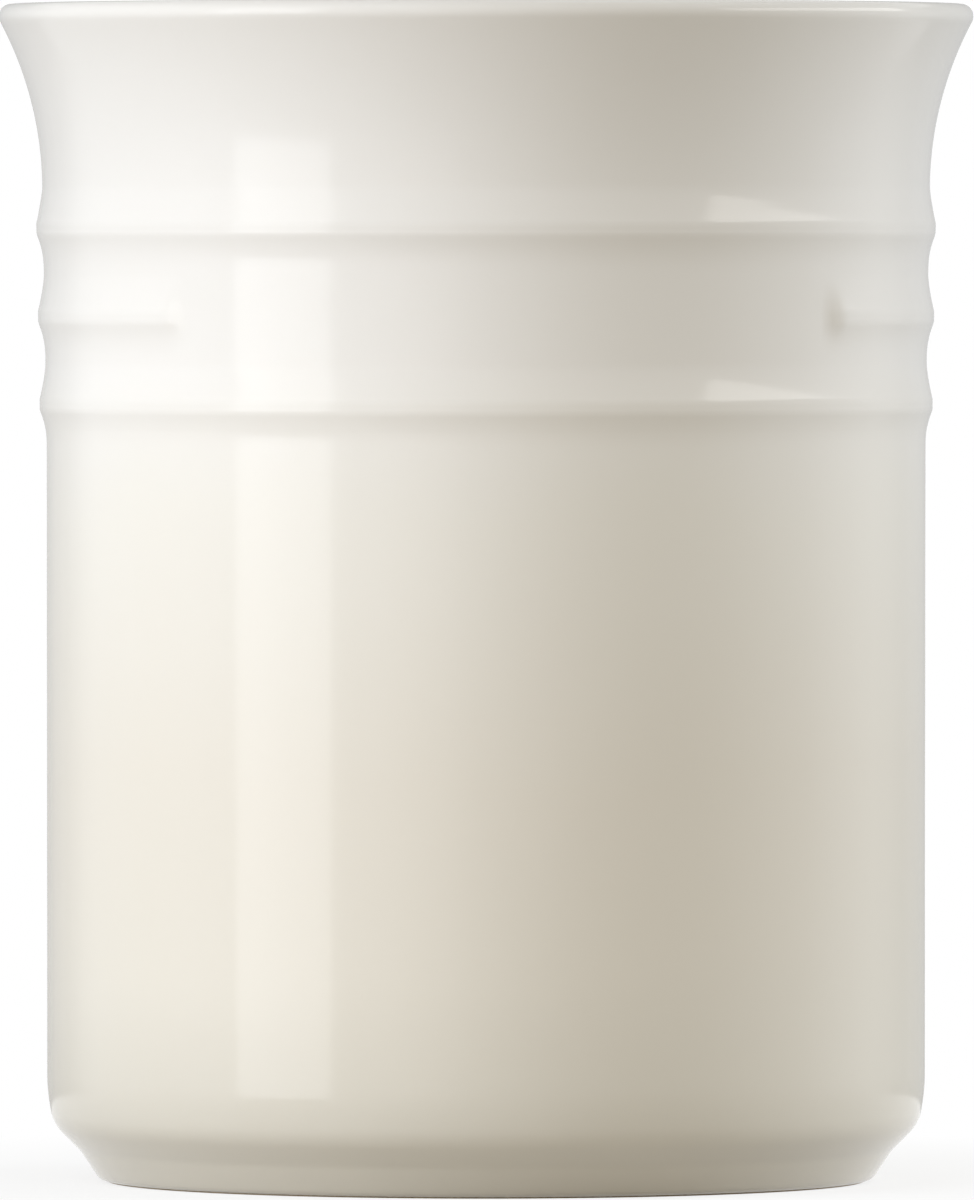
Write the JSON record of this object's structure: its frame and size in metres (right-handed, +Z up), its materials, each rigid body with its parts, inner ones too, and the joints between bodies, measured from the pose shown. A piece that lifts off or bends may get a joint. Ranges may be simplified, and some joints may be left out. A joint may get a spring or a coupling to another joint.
{
  "type": "utensil crock",
  "caption": "Straight-sided stoneware utensil crock with a flared lip, a ribbed collar, a chamfered foot and a cream glaze.",
  "frame": {"origin": "centre of the plane that the foot ring stands on", "axes": "+Z up along the crock's axis; -Y towards the bare panel that interrupts the middle rib, which is the front"},
  "size_m": [0.1244, 0.1244, 0.15],
  "materials": {
    "stoneware": "glossy opaque glaze on stoneware, near white above and warm cream towards the foot, with a bare foot ring",
    "inner_glaze": "glossy opaque near-white glaze",
    "base_glaze": "glossy wiped cream glaze"
  },
  "bodies": {
    "root": {"stoneware_body": "stoneware", "inner_glaze": "inner_glaze", "base_glaze": "base_glaze"}
  },
  "joints": []
}
